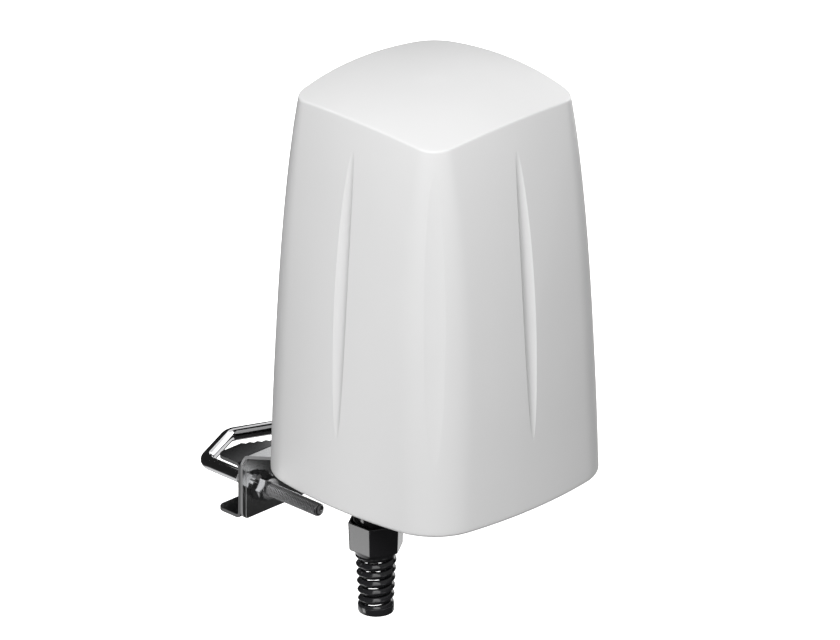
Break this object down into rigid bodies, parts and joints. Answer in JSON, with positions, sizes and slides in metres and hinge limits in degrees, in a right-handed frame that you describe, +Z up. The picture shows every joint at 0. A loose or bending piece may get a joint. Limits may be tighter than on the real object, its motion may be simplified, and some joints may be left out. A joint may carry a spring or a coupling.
{
  "type": "mast-mounted enclosed antenna",
  "caption": "Enclosed white outdoor antenna: tapered domed cover on a base, with a folded mast bracket, toothed saddle, V-shaped U-bolt and a cable gland below.",
  "frame": {"origin": "on the axis of the mast that the clamp grips, at the height of the U-bolt", "axes": "+Z up along the mast, -Y from the mast towards the antenna's cover, +X across, to the right when the cover is seen from its far side"},
  "size_m": [0.1604, 0.2512, 0.3171],
  "materials": {
    "cover_white": "satin moulded plastic",
    "base_white": "fine moulded grain",
    "seal_rubber": "matte",
    "screw_steel": "turned stainless",
    "insert_brass": "turned",
    "bracket_steel": "rolled stainless sheet",
    "saddle_steel": "rolled stainless sheet",
    "u_bolt_steel": "polished stainless rod, rolled thread",
    "nut_steel": "cold-formed stainless",
    "gland_black": "glossy moulded",
    "vent_grey": "fine moulded grain",
    "chassis_aluminium": "mill finish sheet",
    "board_green": "solder mask over laminate",
    "radiator_green": "solder mask over laminate",
    "can_tin": "tinned sheet",
    "bridge_white": "moulded",
    "ceramic": "fired ceramic with a silvered top",
    "lead_jacket": "smooth jacket",
    "plug_gold": "gold-plated"
  },
  "bodies": {
    "base": {"base_plate": "base_white", "base_gasket": "seal_rubber", "base_screws": "screw_steel", "base_screw_seals": "seal_rubber", "vent_plug": "vent_grey", "bracket_inserts": "insert_brass", "bracket_washers": "screw_steel", "bracket_screws": "screw_steel", "mast_bracket": "bracket_steel", "saddle_channel": "saddle_steel", "gland_body": "gland_black", "gland_face_seal": "seal_rubber", "gland_locknut": "gland_black", "gland_seal": "seal_rubber", "chassis_plate": "chassis_aluminium", "chassis_posts": "screw_steel", "chassis_screws": "screw_steel", "radio_board": "board_green", "board_spacers": "screw_steel", "board_screws": "screw_steel", "shield_can": "can_tin", "data_socket": "can_tin", "lte_radiator_front": "radiator_green", "lte_radiator_rear": "radiator_green", "wifi_radiator_left": "radiator_green", "wifi_radiator_right": "radiator_green", "board_angles": "chassis_aluminium", "angle_screws": "screw_steel", "top_bridge": "bridge_white", "gnss_board": "board_green", "gnss_patch": "ceramic", "coax_lte_front": "lead_jacket", "coax_lte_rear": "lead_jacket", "coax_wifi_left": "lead_jacket", "coax_wifi_right": "lead_jacket", "coax_gnss": "lead_jacket", "coax_plugs": "plug_gold"},
    "cover": {"radome_cover": "cover_white", "cover_inserts": "insert_brass"},
    "u_bolt": {"u_bolt": "u_bolt_steel"},
    "nut_left": {"clamp_nut_left": "nut_steel"},
    "nut_right": {"clamp_nut_right": "nut_steel"},
    "gland_ring": {"gland_thrust_ring": "gland_black"},
    "gland_cap": {"gland_cap": "gland_black"}
  },
  "joints": [
    {"name": "cover_lift", "type": "slide", "parent": "base", "child": "cover", "axis": [0, 0, 1], "range_m": [0, 0.23]},
    {"name": "u_bolt_slide", "type": "slide", "parent": "base", "child": "u_bolt", "axis": [0, 1, 0], "range_m": [-0.016, 0.016]},
    {"name": "nut_left_spin", "type": "hinge", "parent": "base", "child": "nut_left", "pos_m": [-0.035, -0.036, 0], "axis": [0, 1, 0], "range_deg": [-4608, 4608]},
    {"name": "nut_right_spin", "type": "hinge", "parent": "base", "child": "nut_right", "pos_m": [0.035, -0.036, 0], "axis": [0, 1, 0], "range_deg": [-4608, 4608]},
    {"name": "gland_ring_travel", "type": "slide", "parent": "base", "child": "gland_ring", "axis": [0, 0, 1], "range_m": [-0.012, 0.004]},
    {"name": "gland_cap_turn", "type": "hinge", "parent": "gland_ring", "child": "gland_cap", "pos_m": [-0.05, -0.1409, 0.0045], "axis": [0, 0, 1], "range_deg": [-2880, 960]}
  ],
  "couplings": [
    {"joint": "nut_left_spin", "follows": "u_bolt_slide", "rad_per_m": -5026.5},
    {"joint": "nut_right_spin", "follows": "u_bolt_slide", "rad_per_m": -5026.5},
    {"joint": "gland_ring_travel", "follows": "gland_cap_turn", "m_per_rad": 0.00023873}
  ]
}
